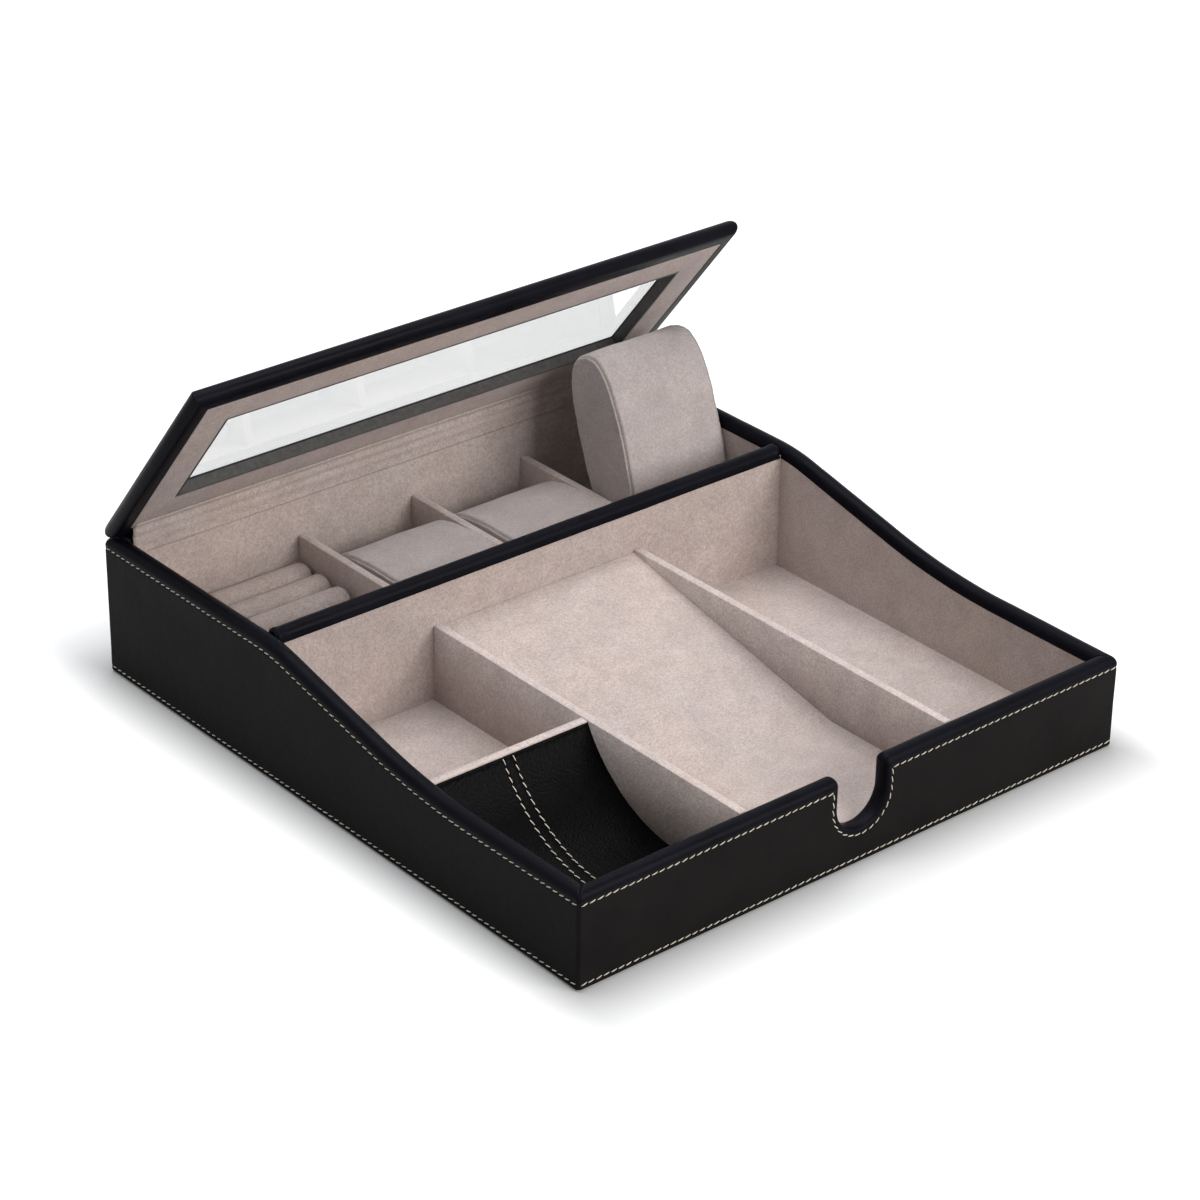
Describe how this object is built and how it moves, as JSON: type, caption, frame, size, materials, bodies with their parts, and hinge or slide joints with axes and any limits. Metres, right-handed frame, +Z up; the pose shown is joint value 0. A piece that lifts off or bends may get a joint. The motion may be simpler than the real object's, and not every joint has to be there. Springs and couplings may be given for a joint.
{
  "type": "valet tray",
  "caption": "Leather valet tray with suede cells: ring rolls and watch pillows under a hinged glass lid, key cell, coin scoop, sloped phone deck with a cable notch, and a glasses cell.",
  "frame": {"origin": "centre of the footprint, on the surface that the tray stands on", "axes": "+X to the right and +Z up as seen from the front; +Y to the back, so the low front edge with the cable notch is at -Y and the hinge is at +Y"},
  "size_m": [0.3, 0.325, 0.1627],
  "materials": {
    "leather": "near-black grained leather with a soft sheen",
    "suede": "taupe suede with a short nap",
    "suede_board": "boards wrapped in taupe suede",
    "pillow_suede": "paler taupe suede over foam",
    "board": "plain fibreboard, hidden by the leather and suede",
    "felt": "black felt",
    "trim": "satin black",
    "glass": "clear, polished"
  },
  "bodies": {
    "box": {"left_cover": "leather", "right_cover": "leather", "front_cover": "leather", "back_cover": "leather", "centre_wall_cover": "leather", "notch_liner": "leather", "coin_scoop": "leather", "hinge_spine": "leather", "left_lining": "suede", "right_lining": "suede", "front_lining": "suede", "back_lining": "suede", "centre_wall_rear_lining": "suede", "centre_wall_front_lining": "suede", "watch_floor_lining": "suede", "key_floor_lining": "suede", "glasses_floor_lining": "suede", "hinge_lining": "suede", "watch_divider_left": "suede_board", "watch_divider_middle": "suede_board", "watch_divider_right": "suede_board", "key_divider": "suede_board", "cross_divider": "suede_board", "glasses_divider": "suede_board", "phone_deck": "suede_board", "ring_roll_pad": "pillow_suede", "base_board": "board", "left_wall_core": "board", "right_wall_core": "board", "front_wall_core": "board", "back_wall_core": "board", "centre_wall_core": "board", "deck_rail": "board", "bottom_felt": "felt"},
    "lid": {"lid_frame": "board", "lid_cover": "leather", "lid_lining": "suede", "window_trim": "trim", "lid_glass": "glass"},
    "pillow_1": {"pillow_1": "pillow_suede"},
    "pillow_2": {"pillow_2": "pillow_suede"},
    "pillow_3": {"pillow_3": "pillow_suede"}
  },
  "joints": [
    {"name": "lid_hinge", "type": "hinge", "parent": "box", "child": "lid", "pos_m": [0, 0.1585, 0.0716], "axis": [-1, 0, 0], "range_deg": [-51.7, 38.3]},
    {"name": "pillow_3_tilt", "type": "hinge", "parent": "box", "child": "pillow_3", "pos_m": [0, 0.06851, 0.04843], "axis": [1, 0, 0], "range_deg": [-70.1, 52]},
    {"name": "pillow_1_lift", "type": "slide", "parent": "box", "child": "pillow_1", "axis": [0, 0, 1], "range_m": [0, 0.025]},
    {"name": "pillow_2_lift", "type": "slide", "parent": "box", "child": "pillow_2", "axis": [0, 0, 1], "range_m": [0, 0.025]}
  ],
  "couplings": [
    {"joint": "pillow_3_tilt", "follows": "lid_hinge", "ratio": 1.354}
  ]
}
